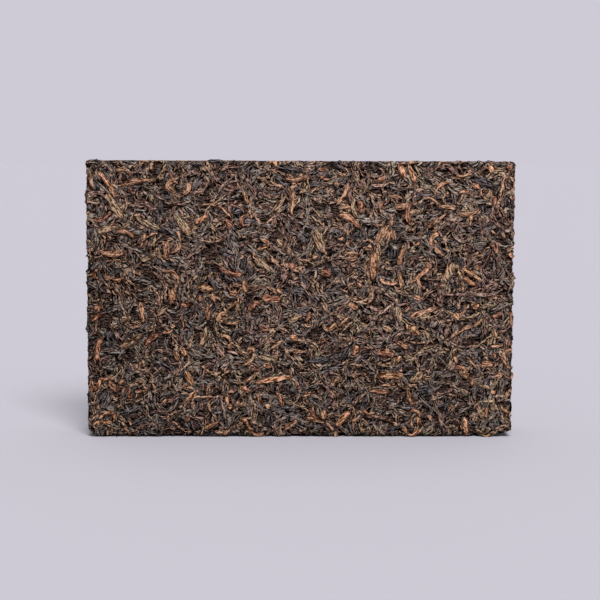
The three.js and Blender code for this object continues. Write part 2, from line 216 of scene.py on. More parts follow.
    ("rust", -43.6, 45, -42, 44.6, 1.3), ("tan", -41.2, 29.3, -40.5, 25.3, 1.3, -0.3),
    ("orange", -39.8, 29.6, -38.6, 27, 1.4, 0.5), ("brown", -46, 27, -44.5, 26, 1.8),
    ("straw", -53.2, 25.6, -54.8, 22.5, 0.9), ("tan", -52.7, 25.2, -53.8, 22.3, 1),
    ("tan", -60.2, 24.6, -59.2, 23, 0.8, -0.4), ("black", -63, 35.5, -63, 30, 3),
    ("orange", -31.3, 45.6, -30.9, 38.5, 1.1, 0.3), ("khaki", -31.6, 37, -34.2, 30, 2, 0.9),
    ("gold", -27.1, 38.1, -24.8, 41, 1.1, 1.4), ("gold", -25, 41.5, -21, 45.3, 1, 0.3),
    ("tan", -26, 38.5, -20, 39, 0.8, -0.8), ("brown", -24.5, 39.5, -20.3, 40, 0.8),
    ("gold", -27, 33.2, -23.5, 31.5, 1.2, 1.4), ("gold", -23.4, 31.8, -24.5, 29.5, 1.2, 0.3),
    ("straw", -28.1, 30.8, -27, 29.7, 0.7), ("brown", -29.2, 31.5, -25.7, 26, 3.4),
    ("pink", -24.8, 29, -21, 27.7, 0.8), ("straw", -28.5, 23.3, -27.2, 24.3, 0.7),
    ("gold", -17.8, 28.3, -15.9, 28.3, 1.1, 1.4), ("gold", -15.9, 28.3, -19.5, 24.3, 1, 1.1),
    ("khaki", -14.7, 26.9, -7.7, 26.3, 2.2), ("rust", -15.7, 23, -14, 22.5, 1.2),
    ("orange", -12.7, 24.8, -10.2, 23.2, 1.5), ("straw", -9.9, 39.3, -8.1, 39.3, 0.7, 0.9),
    ("straw", -9.9, 39.3, -8.1, 39.3, 0.7, -0.9), ("straw", -11.6, 42.5, -10, 40.5, 0.7, -0.3),
    ("rust", -13.3, 36, -11, 36.3, 1.5), ("brown", -10.6, 37.5, -6, 34, 1.5, 0.5),
    ("pink", -7, 36.5, -4, 34.5, 0.7, 0.3), ("orange", -4, 33.7, -1.3, 33, 1.9),
    ("khaki", -4.6, 38.7, 0, 41, 1.8, -0.2), ("pink", -19.6, 35.8, -15.4, 34.3, 0.8),
    ("rust", -17.6, 42, -14, 44.9, 1.4, 0.4), ("rust", -16, 44.7, -13.2, 44.7, 1.6),
    ("tan", -10.6, 29.4, -6, 32.5, 0.8), ("rust", -2.7, 27.9, -1, 28.7, 1),
    ("grey", -19, 34, -16.3, 32.4, 2.2), ("brown", -12.6, 30.7, -9.8, 33.2, 1.6),
    ("pink", 6.2, 45, 7.8, 42, 0.8), ("orange", 15.9, 44.4, 18.4, 42.8, 1.5),
    ("pink", 22, 44, 26.7, 42.2, 1.1, -0.5), ("straw", 30.5, 45, 24, 40.3, 0.8, 0.1),
    ("brown", 22, 40.5, 24.5, 39.3, 2.2), ("khaki", 30.7, 43.8, 32.7, 38.3, 2.4),
    ("tan", 34.3, 38, 35.2, 35.8, 1.3), ("gold", 7.1, 38, 8.8, 35.2, 1.1, -0.2),
    ("gold", 8.8, 35.2, 11.3, 38, 1.1), ("tan", 11.7, 36.4, 16.5, 40.4, 1.1, 0.2),
    ("khaki", 11.3, 40.5, 14.2, 39.9, 1.6), ("tan", 5, 31, 7.8, 32.9, 0.9, 0.2),
    ("orange", 16.4, 33.8, 16.9, 32, 1.2), ("orange", 17, 27.3, 18.5, 30.6, 1.5, 0.2),
    ("grey", 17.6, 31.6, 15.4, 26.4, 0.8, -0.3), ("pink", 19.7, 29.7, 25.7, 28.3, 0.9, 1),
    ("rust", 24.3, 28.5, 30.8, 27.6, 2.4), ("gold", 31.3, 25.3, 32.7, 27.2, 1.5),
    ("tan", 31.3, 32, 35.3, 29.8, 2), ("khaki", 26.3, 37.1, 30.2, 35.4, 1.5),
    ("straw", 30, 37.5, 34.2, 36.4, 0.7, -0.8), ("tan", 12.9, 33, 14.9, 32.6, 1.1),
    ("straw", 10.4, 27.3, 11.6, 26.6, 0.7), ("rust", 2.5, 42, 1, 38.3, 1.1, 0.4),
    ("tan", 0.9, 38, 3.1, 37.5, 1, -0.5), ("black", 20, 26.8, 24.6, 26.4, 1, 0.9),
    ("black", 2, 25.5, 9.5, 26, 1.6), ("gold", 35.8, 36.8, 38.8, 34, 2, 0.3),
    ("tan", 35.3, 40, 44.8, 43.4, 1.6), ("pink", 43.9, 45.3, 46.2, 43.4, 0.9),
    ("orange", 55.8, 44.8, 58.2, 43.2, 2), ("khaki", 58.8, 42.8, 63.5, 43.9, 1.3, 0.6),
    ("grey", 61.3, 41.3, 66.7, 44.6, 2), ("rust", 62.3, 40, 66.2, 41.5, 1.2),
    ("brown", 59.8, 40, 59.4, 33.3, 1, 0.2), ("brown", 61, 39.5, 60.6, 34, 0.9),
    ("gold", 56.3, 36.8, 59.5, 39.9, 1, -0.2), ("gold", 50.3, 41.5, 51.7, 39, 1.8),
    ("tan", 48.7, 32.7, 56.3, 37.1, 1.3, 0.9), ("grey", 42, 37, 46.7, 30.8, 1.1, -0.2),
    ("straw", 48.8, 31.9, 56.7, 30.9, 0.6, -1.1), ("straw", 58.4, 31.1, 61.6, 28, 0.7),
    ("rust", 63.4, 28.6, 63.9, 26.3, 1.3), ("orange", 59.3, 24.9, 63.2, 23.9, 2.1),
    ("tan", 54.4, 27, 58.2, 22.6, 0.9), ("straw", 55.2, 28.2, 57.2, 26, 0.7),
    ("tan", 67, 29, 68.7, 23, 1.4, -0.9), ("tan", 66.8, 28.8, 69, 29.5, 1.2),
    ("pink", 68, 34.6, 68, 30.3, 1.1), ("tan", 62.3, 30, 66.7, 31.1, 0.8),
    ("rust", 68.6, 42, 68.8, 37, 1), ("tan", 50.1, 28.2, 51.6, 24.9, 0.9, -0.3),
    ("orange", 50.7, 23.5, 54.8, 22.3, 1, 0.4), ("tan", 63.8, 36.2, 64.2, 33.3, 1),
    # Along the foot.
    ("orange", -69.2, 19.8, -68.3, 15.4, 1.3, -0.3), ("orange", -68.3, 15.4, -66.2, 19.6, 1.3, -0.4),
    ("orange", -66.9, 19.6, -62.7, 20.3, 1.3, -0.5), ("tan", -63.5, 19.2, -59.9, 15.2, 1.9, -0.3),
    ("tan", -60.6, 17.9, -58.3, 18.8, 2), ("tan", -57.6, 17, -56.2, 12.9, 1.5),
    ("tan", -55, 18.5, -52, 18.7, 0.9), ("tan", -52.1, 17.2, -51, 15.6, 0.8),
    ("tan", -55.1, 15.4, -51.4, 15.4, 0.9), ("gold", -69, 4.2, -66.5, 5.4, 1.1),
    ("gold", -67, 5.2, -62.3, 5.1, 1), ("gold", -61.7, 8, -62.2, 5.1, 1.2, 0.5),
    ("gold", -66.8, 5.8, -61.8, 7.8, 1.1, 1.2), ("tan", -59.7, 5.2, -56.8, 1.2, 0.8, 0.2),
    ("grey", -57.6, 22.2, -56.3, 20.3, 0.7), ("brown", -41.1, 22.4, -42.6, 18, 1, -0.5),
    ("brown", -42.6, 18, -35.4, 15.2, 1, -1.6), ("tan", -39.6, 17, -35.6, 15.9, 0.9, 0.5),
    ("gold", -38.3, 22.5, -35.6, 17, 1.9, -0.3), ("tan", -39, 10.7, -34.5, 15.3, 1.1, 0.8),
    ("tan", -38, 12, -33, 13.4, 0.8, 0.7), ("orange", -46.4, 11.1, -43.9, 12.8, 0.9),
    ("straw", -43.3, 11.5, -40.1, 13.7, 0.8), ("rust", -38.8, 6.5, -36.9, 5.7, 1.1),
    ("orange", -15.9, 18.1, -2.7, 20.4, 1.7, 0.2), ("tan", -15, 22.4, -18.6, 18, 0.9, 0.2),
    ("orange", -20.4, 16.9, -16.9, 14.9, 1.3, 0.2), ("pink", -20, 14, -22.4, 10.3, 0.9, 0.2),
    ("orange", -24.8, 15, -24.3, 10.5, 1.4), ("orange", -24.6, 10.4, -22.8, 10.3, 1.4),
    ("rust", -23.8, 15.7, -22.5, 14.8, 1.2), ("straw", -26.8, 14.6, -24.8, 5.5, 0.8, -0.3),
    ("straw", -27.3, 14.1, -30, 11, 0.7), ("tan", -35, 13.2, -28.9, 13.3, 0.8, 0.2),
    ("rust", -14.9, 15.1, -13.3, 10.8, 1), ("tan", -8.5, 15.2, -6.2, 10.3, 1.3, 0.4),
    ("rust", -7.3, 12.6, -6.4, 10.3, 1.1), ("gold", -12.1, 11, -10.2, 10.1, 1.3),
    ("orange", -20.5, 6.2, -17.9, 5.2, 1.2, 0.3), ("orange", -18, 5.5, -16.9, 1.9, 1.4, -0.2),
    ("orange", -17.2, 2.4, -12.6, 2.2, 1.2, -1), ("khaki", -17.3, 5.1, -12.7, 3.3, 0.9, 0.5),
    ("straw", -21.9, 4.7, -18.7, 3.3, 0.7, -0.9), ("gold", -32.4, 2.7, -27, 5.5, 1.1),
    ("tan", -28.8, 2, -26, 1.6, 1), ("tan", -26, 1.5, -23.6, 2.7, 0.8, -0.6),
    ("tan", -5.5, 2.2, -1.4, 5.9, 1.4, 0.3), ("pink", -10.6, 1.8, -7, 3.5, 0.8),
    ("pink", -9.5, 8.5, -6.5, 5, 0.8), ("straw", -22.7, 9.2, -20.9, 8.7, 0.6, -0.3),
    ("khaki", -22.7, 18.3, -19, 18.2, 0.9), ("rust", 2.4, 9.7, 6, 6, 1.6, -0.3),
    ("tan", 1, 7, 8, 5, 1.1, -0.2), ("orange", 7.4, 9.3, 7.2, 5.8, 1.5),
    ("orange", 11.5, 3.3, 16.2, 8.7, 2.2, 0.4), ("gold", 11.2, 2.3, 11.5, 0.7, 1.1),
    ("tan", 8, 5.1, 10.8, 2.3, 1), ("straw", 8.3, 5.8, 10.6, 4.4, 0.6),
    ("straw", 23.3, 5.8, 27.9, 1, 0.8, -0.6), ("rust", 20.3, 9.6, 22.5, 7.2, 1.1),
    ("pink", 20.8, 7, 30, 5, 1, 0.9), ("tan", 16.3, 5.6, 19.6, 6.3, 0.9),
    ("gold", 25.3, 20.4, 34.1, 20.8, 2.4), ("khaki", 20.4, 16.9, 23.6, 17.3, 0.9),
    ("tan", 25.3, 17.5, 31, 17.8, 0.8), ("orange", 21.8, 15.5, 28.7, 15.2, 1.5, 0.1),
    ("tan", 8.9, 16.9, 12.2, 19.6, 1.3), ("straw", 5.7, 22.2, 6.9, 19.2, 0.7),
    ("gold", 0, 13.8, 4.6, 15.3, 1.1), ("tan", 16, 21, 18, 20.5, 1.3),
    ("rust", 20, 21.8, 21, 20.8, 1.1), ("pink", 8.3, 14.6, 10.7, 13.3, 1),
    ("tan", 30, 5.2, 31.8, 3.9, 1), ("tan", 33.4, 4.1, 35.2, 1.1, 1.1),
    ("khaki", 35.3, 18.3, 40.3, 22, 2.4), ("khaki", 39.8, 20.4, 42.8, 19.9, 1.9),
    ("tan", 35.2, 17.3, 37.6, 10.3, 1.3, -0.9), ("orange", 35.9, 8.4, 39.2, 6.5, 1.3, 1.4),
    ("orange", 39.2, 6.8, 38.6, 3.9, 1.2), ("tan", 36.6, 7.5, 37.3, 3, 0.8, -0.5),
    ("orange", 34.8, 1.6, 39.7, 3, 1.2, -0.9), ("grey", 38.4, 14.6, 46.2, 6.9, 1.3),
    ("black", 38, 16, 43.8, 15.3, 3), ("brown", 41.3, 13, 47, 14.2, 1.3, -0.4),
    ("straw", 38.6, 12, 39.9, 12.1, 0.9), ("tan", 41.5, 7.6, 43.6, 5.6, 1.2),
    ("straw", 49.2, 8.1, 52.1, 12.2, 0.8), ("grey", 44, 16, 53, 20.5, 1, 2.5),
    ("gold", 51.9, 22.4, 54.9, 19.7, 1.1), ("gold", 53.5, 22.4, 55.2, 20.4, 0.8),
    ("rust", 55.9, 20.3, 56.3, 16.8, 1.2), ("tan", 63.4, 20, 66.3, 21.1, 1.7),
    ("orange", 62.4, 15.3, 64.2, 15, 1.1), ("straw", 63.2, 13.6, 67.1, 14.1, 0.8),
    ("khaki", 57.3, 9.3, 60, 12.2, 1, 0.9), ("khaki", 60, 12.3, 64, 12, 0.9),
    ("tan", 60.9, 10.3, 60.6, 6.6, 2.2), ("khaki", 59.3, 9.5, 59.6, 7, 1.4),
    ("straw", 61.4, 6, 63.2, 7.8, 0.7, -0.5), ("tan", 66, 11, 69, 8.4, 1.1, -0.7),
    ("orange", 53.6, 6.7, 54.6, 1.3, 1.4, 0.4), ("gold", 53, 4, 53.6, 2.8, 1.1),
    ("gold", 59.4, 1.6, 64.2, 2.1, 0.8, -0.6), ("tan", 69, 22, 68.7, 19.5, 1),
]


# ---- The bed, and paths over it ----

# A side of the bed is an axis and one end of it. The foot hardly shows: it carries this share of the leaves
# that its size asks for.
SIDES = [(axis, end) for axis in range(3) for end in (0, 1)]
FOOT = (2, 0)
FOOT_SHARE = 0.5

# Steps that spread points evenly over a square of side 1, and how far each is moved at random.
EVEN_STEPS = (0.7548776662, 0.5698402910)
SCATTER = 0.012

# The higher the power, the crisper the bed's edges. They are worn where an end meets the foot, which is
# where the way out leans this far towards both.
CRISP_POWER, WORN_POWER = 12.0, 3.0
LEANING = 0.3

# The bow of a straight leaf, because a straight line is an arc without a centre.
LEAST_BOW = 0.01
TINY = 1e-9


def unit(vectors):
    return vectors / np.maximum(np.linalg.norm(vectors, axis=-1, keepdims=True), TINY)


def settle(points):
    """The nearest places on the bed, and the way out of it there. Towards an edge the way out is longer
    than 1, so that what is laid on the bed keeps a crisp edge: less so where an end meets the foot."""
    inner = np.clip(points, BED_LOW + BED_RADIUS, BED_HIGH - BED_RADIUS)
    out = unit(points - inner)
    worn = (out[..., 2:] < -LEANING) & (np.abs(out[..., :1]) > LEANING)
    power = np.where(worn, WORN_POWER, CRISP_POWER)
    out = out / (np.abs(out) ** power).sum(-1, keepdims=True) ** (1 / power)
    return inner + BED_RADIUS * out, out


def level(vectors, outs):
    """Directions made square to the way out."""
    outs = unit(outs)
    return unit(vectors - (vectors * outs).sum(-1, keepdims=True) * outs)


def turned(vectors, axes, angles):
    """Vectors that stand square to their axes, turned about them."""
    return vectors * np.cos(angles)[:, None] + np.cross(axes, vectors) * np.sin(angles)[:, None]


def spread_over_bed(count):
    """Places spread evenly over all six sides of the bed, fewer on the foot, and a heading at each."""
    size = BED_HIGH - BED_LOW
    areas = np.array([np.prod(np.delete(size, axis)) for axis, end in SIDES])
    areas[SIDES.index(FOOT)] *= FOOT_SHARE
    share = np.floor(count * areas / areas.sum() + rng.random(len(SIDES))).astype(int)
    places, headings = [], []
    for (axis, end), n in zip(SIDES, share):
        i = np.arange(n)[:, None]
        even = (rng.random(2) + i * EVEN_STEPS + rng.normal(0, SCATTER, (n, 2))) % 1.0
        flat = np.delete(np.arange(3), axis)
        place = np.zeros((n, 3))
        place[:, axis] = (BED_LOW, BED_HIGH)[end][axis]
        place[:, flat] = BED_LOW[flat] + even * size[flat]
        angle = rng.random(n) * 2 * np.pi
        heading = np.zeros((n, 3))
        heading[:, flat] = np.stack([np.cos(angle), np.sin(angle)], 1)
        places.append(place)
        headings.append(heading)
    order = rng.permutation(sum(map(len, places)))
    return np.concatenate(places)[order], np.concatenate(headings)[order]


def walk(places, headings, lengths, bends):
    """Paths over the bed, from these places both ways: their points, and the way out of the bed at each.
    bends holds how far each path turns in each of its steps."""
    n, count = bends.shape
    steps = count // 2
    points = np.zeros((n, count + 1, 3))
    outs = np.zeros_like(points)
    start, start_out = settle(places)
    start_heading = level(headings, start_out)
    points[:, steps], outs[:, steps] = start, start_out
    step = lengths / count
    for way in (1, -1):
        at, out, heading = start, start_out, start_heading
        for k in range(1, steps + 1):
            bend = bends[:, steps + k - 1 if way > 0 else steps - k]
            heading = turned(heading, unit(out), way * bend / 2)
            at, out = settle(at + way * heading * step[:, None])
            heading = turned(level(heading, out), unit(out), way * bend / 2)
            points[:, steps + way * k], outs[:, steps + way * k] = at, out
    return points, outs


def arcs(rows, steps):
    """The same for named leaves of the front face, each an arc from tip to tip."""
    x0, z0, x1, z1 = np.array([row[1:5] for row in rows], float).T[..., None]
    bow = np.array([row[6] if len(row) > 6 else LEAST_BOW for row in rows])[:, None]
    chord = np.hypot(x1 - x0, z1 - z0)
    opening = 4 * np.arctan(2 * bow / chord)
    radius = chord / (2 * np.sin(opening / 2))
    angle = opening * np.linspace(-0.5, 0.5, 2 * steps + 1)
    along = radius * np.sin(angle)
    across = radius * (np.cos(angle) - np.cos(opening / 2))
    x = (x0 + x1) / 2 + (along * (x1 - x0) - across * (z1 - z0)) / chord
    z = (z0 + z1) / 2 + (along * (z1 - z0) + across * (x1 - x0)) / chord
    points = np.stack([x + FRONT_RIGHT, np.full_like(x, BED_LOW[1]), z - FRONT_DOWN], -1)
    return settle(points)


def cells(points, outs):
    """The cell of the height field that each point lies in, and how many cells there are in all."""
    axis = np.abs(outs).argmax(-1)
    end = np.take_along_axis(outs, axis[..., None], -1)[..., 0] > 0
    spot = np.floor((points - BED_LOW) / CELL).astype(int)
    u = np.where(axis == 0, spot[..., 1], spot[..., 0])
    v = np.where(axis == 2, spot[..., 1], spot[..., 2])
    wide, tall = (int((BED_HIGH - BED_LOW)[i] / CELL) + 2 for i in (0, 2))
    u, v = np.clip(u, 0, wide - 1), np.clip(v, 0, tall - 1)
    return ((axis * 2 + end) * wide + u) * tall + v, len(SIDES) * wide * tall


# ---- Leaves: drawing them, and pressing them onto the bed ----

# The shade of leaves varies in patches, towards the +X end, towards the top, and from leaf to leaf. The
# patches and the spread from leaf to leaf are the leaves' own colour. The change along and up the brick is
# painted light and shade: darker towards the -X end and the foot, paler towards the +X end and the top.
PATCH_SHADE, END_PAINTED_LIGHT, TOP_PAINTED_LIGHT, OWN_SHADE = 0.18, 0.12, 0.2, 0.07
PATCHES_PER_MM = 0.035

# How far a tight hook turns, in radians, and how thick a leaf may be, as a share of its width.
HOOK_TURN = (2, 4)
MOST_THICK = 0.85

# What lies under a leaf is looked up so many times to a step along it, on lines this share of its width
# from its middle.
LOOKUPS = 3
LOOKUP_LINES = (-0.35, 0, 0.35)

# Leaves are laid in the order of how late their kind is, plus a random number up to this.
CHANCE = 0.8

# The ceiling that a leaf is squeezed under, from the face of the mould: a rise above it for named leaves.
# For others it is a drop below, up to a spread more at random, and a climb more for the first one laid.
NAMED_RISE = 0.15
CEILING_DROP, CEILING_SPREAD, CEILING_CLIMB = 0.05, 0.1, 0.45

# A leaf's middle line lies a share of its thickness above what is under it, wavers, and dips towards the
# tips, where the leaf is thinner by a share.
RESTING = 0.25
WAVER = 0.05
TIP_DIP, NAMED_TIP_DIP = 0.35, 0.15
TIP_THINNING = 0.5


def lumps_at(places, per_mm, octaves):
    """Smooth noise at these places, with so many lumps to a millimetre, and finer ones on them."""
    return np.array([noise.fractal(Vector(place) * per_mm, 1.0, 2.0, octaves) for place in places])


def shade_at(places):
    """How light the leaves at these places are: each has its own shade, and they come in patches, which are
    their own colour. Painted light and shade on top of that make them darker towards the -X end and the foot,
    and paler towards the +X end and the top."""
    patches = lumps_at(places, PATCHES_PER_MM, octaves=2)
    along, up = places[:, 0] / HIGH[0], places[:, 2] / HIGH[2] - 0.5
    own = rng.normal(0, OWN_SHADE, len(places))
    # Painted light and shade: darker towards the -X end and the foot, paler towards the +X end and the top.
    # The patches and each leaf's own shade are its colour.
    return 1 + PATCH_SHADE * patches + END_PAINTED_LIGHT * along + TOP_PAINTED_LIGHT * up + own


def draw_kind(name):
    """All leaves of one kind, at random over the bed and then as named, before they are pressed down."""
    kind = KINDS[name]
    steps = kind["steps"]
    places, headings = spread_over_bed(kind["count"])
    if name == "bud_leaves":
        # Those of the front face are all named.
        elsewhere = places[:, 1] > BED_LOW[1]
        places, headings = places[elsewhere], headings[elsewhere]
    n = len(places)
    length = rng.uniform(*kind["length"], n)
    turn = rng.normal(0, kind["turn"], n)
    hooked = rng.random(n) < kind["curls"]
    turn = np.where(hooked, rng.choice([-1, 1], n) * rng.uniform(*HOOK_TURN, n), turn)
    bends = turn[:, None] / (2 * steps) + rng.normal(0, kind["crook"], (n, 2 * steps))
    points, outs = walk(places, headings, length, bends)
    width = rng.uniform(*kind["width"], n)
    tone = rng.uniform(0, kind["palest"], n)
    rows = [row for row in FRONT_LEAVES if TONES[row[0]][0] == name]
    if rows:
        named_points, named_outs = arcs(rows, steps)
        points, outs = np.concatenate([points, named_points]), np.concatenate([outs, named_outs])
        named_length = np.linalg.norm(np.diff(named_points, axis=1), axis=-1).sum(1)
        length = np.concatenate([length, named_length])
        width = np.concatenate([width, [FRONT_WIDER * row[5] for row in rows]])
        tone = np.concatenate([tone, [TONES[row[0]][1] for row in rows]])
    total = len(points)
    thick = np.minimum(rng.uniform(*kind["thick"], total), MOST_THICK * width)
    return dict(kind, name=name, points=points, outs=outs, length=length, wide=width, thickness=thick,
                tone=tone, shade=shade_at(points[:, steps]), named=np.arange(total) >= n,
                heights=np.zeros((total, 2 * steps + 1)), ceiling=np.zeros(total),
                laid=np.ones(total, bool))


def sample_cells(drawn):
    """The cells that are looked up under each leaf, and how many cells there are in all."""
    points, outs = drawn["points"], drawn["outs"]
    last = points.shape[1] - 1
    t = np.linspace(0, last, LOOKUPS * last + 1)
    low = np.minimum(t.astype(int), last - 1)
    f = (t - low)[None, :, None]
    at = points[:, low] * (1 - f) + points[:, low + 1] * f
    out = outs[:, low] * (1 - f) + outs[:, low + 1] * f
    across = unit(np.cross(out, points[:, low + 1] - points[:, low])) * drawn["wide"][:, None, None]
    found = []
    for share in LOOKUP_LINES:
        ids, size = cells(*settle(at + share * across))
        found.append(ids)
    return np.stack(found, -1), size


def line_under(heights):
    """The heights found under a leaf, as one smooth line with a height for each of its points."""
    ridge = np.pad(heights.max(1), 1, mode="edge")
    line = np.maximum(np.maximum(ridge[:-2], ridge[1:-1]), ridge[2:])[::LOOKUPS]
    for _ in range(2):
        padded = np.pad(line, 1, mode="edge")
        line = 0.25 * padded[:-2] + 0.5 * padded[1:-1] + 0.25 * padded[2:]
    return line


def press(kinds):
    """Lays the leaves one on another, the named ones last, and squeezes them under the ceiling of the
    mould, each a little nearer to it than those before. Returns the height field that they leave."""
    sampled = [sample_cells(drawn) for drawn in kinds]
    field = np.full(sampled[0][1], -BARE_DEPTH)
    queue = [(k, i) for k, drawn in enumerate(kinds) for i in np.flatnonzero(~drawn["named"])]
    turns = CHANCE * rng.random(len(queue)) + [kinds[k]["late"] for k, i in queue]
    queue = [queue[i] for i in np.argsort(turns)]
    named_queue = [(k, i) for k, drawn in enumerate(kinds) for i in np.flatnonzero(drawn["named"])]
    named_queue.sort(key=lambda pair: -kinds[pair[0]]["wide"][pair[1]])
    for turn, (k, i) in enumerate(queue + named_queue):
        drawn = kinds[k]
        ids = sampled[k][0][i]
        if drawn["name"] == "short_leaves" and field[ids].mean() > BED_DEPTH - HOLLOW_DEPTH:
            drawn["laid"][i] = False
            continue
        if drawn["named"][i]:
            rise, dip = NAMED_RISE, NAMED_TIP_DIP
        else:
            rise = -CEILING_DROP - CEILING_SPREAD * rng.random() - CEILING_CLIMB * (1 - turn / len(queue))
            dip = TIP_DIP
        ceiling = BED_DEPTH + rise
        thick = drawn["thickness"][i]
        middle = np.minimum(line_under(field[ids]) + RESTING * thick, ceiling - thick / 2)
        middle = middle + rng.normal(0, WAVER, len(middle))
        middle = middle - dip * np.linspace(-1, 1, len(middle)) ** 4
        drawn["ceiling"][i] = ceiling
        drawn["heights"][i] = middle
        top = np.interp(np.linspace(0, 1, len(ids)), np.linspace(0, 1, len(middle)), middle)
        top = top + thick / 2 * (1 - TIP_THINNING * np.linspace(-1, 1, len(ids)) ** 2)
        field[ids] = np.maximum(field[ids], top[:, None])
    for drawn in kinds:
        laid = drawn.pop("laid")
        for key, values in drawn.items():
            if isinstance(values, np.ndarray):
                drawn[key] = values[laid]
    return field


# ---- Meshes ----

# A fold that turns by more than this many degrees looks like a crease.
SHARP_ANGLE = 50

# A leaf's tube is fullest at its middle, or nearer to a tip by a power in this range. Named leaves have
# tips of their own. How full it is varies by a share along it.
FULLEST = (0.6, 1.6)
NAMED_TAPER = (0.15, 0.6)
UNEVEN, NAMED_UNEVEN = 0.18, 0.14

# How far ridges stand out, as a share of half the width, and how much they vary. A fold between them has
# a share of its kind's depth, and on named leaves both are less.
RIDGE, RIPPLE = 1.1, 0.12
FOLD_SHARE = (0.3, 1)
NAMED_FOLDS = 0.8

# What comes nearer to the ceiling than this is flattened to a share of its height.
FLATTENED_FROM, FLATTENED_TO = 0.12, 0.4

# The light that reaches the sides of the thinnest leaf, how much less it is for each millimetre of width,
# and its range. It grows to the crown's light above, and falls to a share of itself below.
THIN_SIDE_LIGHT, LESS_PER_MM = 0.9, 0.36
SIDE_LIGHT = (0.15, 0.7)
CROWN_GAIN, CROWN_LIGHT = 1.2, 1.05
BELOW_SHARE = 0.8
TIP_LIGHT = 0.4

# In the map of the grain, the way round a leaf is this many times its width, and each leaf or crumb lies
# at random in a square of this side.
WAY_ROUND = 2.2
GRAIN_FIELD = 500

# Crumbs: how many, their sizes and how worn they are, their length, width and thickness as shares of the
# size, how lumpy they are, how far they keep below the mould, and how far they stand on what they lie on.
CRUMBS = 3200
CRUMB_SIZE, CRUMB_WEAR = (0.25, 0.8), (0.7, 1)
CRUMB_SHARES = ((1, 1.9), (0.6, 1), (0.5, 0.8))
CRUMB_LUMPS, CRUMB_GAP, CRUMB_LIFT = 0.22, 0.4, 0.1

# The core: how far apart its points are, its lumps to a millimetre and how high they are, and its tone.
CORE_SPACING = 1.2
LUMPS_PER_MM, LUMP_HEIGHT = 0.55, 0.4
CORE_TONE = 0.3


def floor_under(x):
    """How high the lowest leaves stand: 0, and more where a corner is gone."""
    crumbled = (x - (HIGH[0] - CRUMBLED_ALONG)) * CRUMBLED_UP / CRUMBLED_ALONG
    worn = ((LOW[0] + WORN_ALONG) - x) * WORN_UP / WORN_ALONG
    return np.maximum(0, np.maximum(crumbled, worn))


def add_object(name, data):
    thing = bpy.data.objects.new(name, data)
    bpy.context.scene.collection.objects.link(thing)
    return thing


def make_piece(name, vertices, faces, bake_uv, grain_uv, tone, shade, smooth=True):
    """A mesh of triangles, with the map that a bake uses, one for the grain in millimetres, and the tone and
    the shade of each leaf. The shade darkens the colour: it holds painted light and shade as well as each
    leaf's own lightness."""
    vertices = vertices.copy()
    vertices[:, 2] = np.maximum(vertices[:, 2], floor_under(vertices[:, 0]))
    mesh = bpy.data.meshes.new(name)
    mesh.vertices.add(len(vertices))
    mesh.vertices.foreach_set("co", (vertices * MM).astype(np.float32).ravel())
    mesh.loops.add(3 * len(faces))
    mesh.loops.foreach_set("vertex_index", faces.astype(np.int32).ravel())
    mesh.polygons.add(len(faces))
    mesh.polygons.foreach_set("loop_start", np.arange(0, 3 * len(faces), 3, dtype=np.int32))
    mesh.polygons.foreach_set("use_smooth", np.full(len(faces), smooth))
    for layer, uv in (("OFBake", bake_uv), ("Grain", grain_uv)):
        mesh.uv_layers.new(name=layer).data.foreach_set("uv", uv.astype(np.float32).ravel())
    for layer, values in (("tone", tone), ("shade", shade)):
        mesh.attributes.new(layer, "FLOAT", "POINT").data.foreach_set("value", values.astype(np.float32))
    mesh.update()
    mesh.validate()
    if smooth:
        mesh.set_sharp_from_angle(angle=math.radians(SHARP_ANGLE))
    return add_object(name, mesh)


def inset(uv, margin):
    """Places from 0 to 1 in a cell of the bake map, moved in to leave a margin all round it."""
    return margin + (1 - 2 * margin) * uv


def atlas(count, corner_uv, aspect=1.0, margin=0.06):
    """Gives each of count copies its own cell of the bake map: corner_uv runs from 0 to 1 in a cell."""
    across = max(1, math.ceil(math.sqrt(count / aspect)))
    down = math.ceil(count / across)
    i = np.arange(count)
    cell = np.stack([i % across, i // across], -1)[:, None, None, :]
    return (cell + inset(corner_uv[None], margin)) / (across, down)


def copied_faces(faces, copies, points_each):
    """The faces of many copies of a mesh, one after another."""
    return (faces[None] + np.arange(copies)[:, None, None] * points_each).reshape(-1, 3)


def tube_faces(rings, sides):
    """The triangles of a tube that is closed to a point at both ends: vertex numbers, and each corner's
    place along and around it from 0 to 1."""
    faces, places = [], []
    last = rings * sides + 1
    span = rings + 1

    def number(r, j):
        return 1 + r * sides + j % sides

    for j in range(sides):
        faces.append((0, number(0, j + 1), number(0, j)))
        places.append(((0, (j + 0.5) / sides), (1 / span, (j + 1) / sides), (1 / span, j / sides)))
        for r in range(rings - 1):
            a, b, c, d = number(r, j), number(r, j + 1), number(r + 1, j + 1), number(r + 1, j)
            near, far = (r + 1) / span, (r + 2) / span
            faces += [(a, b, c), (a, c, d)]
            places += [((near, j / sides), (near, (j + 1) / sides), (far, (j + 1) / sides)),
                       ((near, j / sides), (far, (j + 1) / sides), (far, j / sides))]
        faces.append((last, number(rings - 1, j), number(rings - 1, j + 1)))
        places.append(((1, (j + 0.5) / sides), (rings / span, j / sides), (rings / span, (j + 1) / sides)))
    return np.array(faces), np.array(places, float)


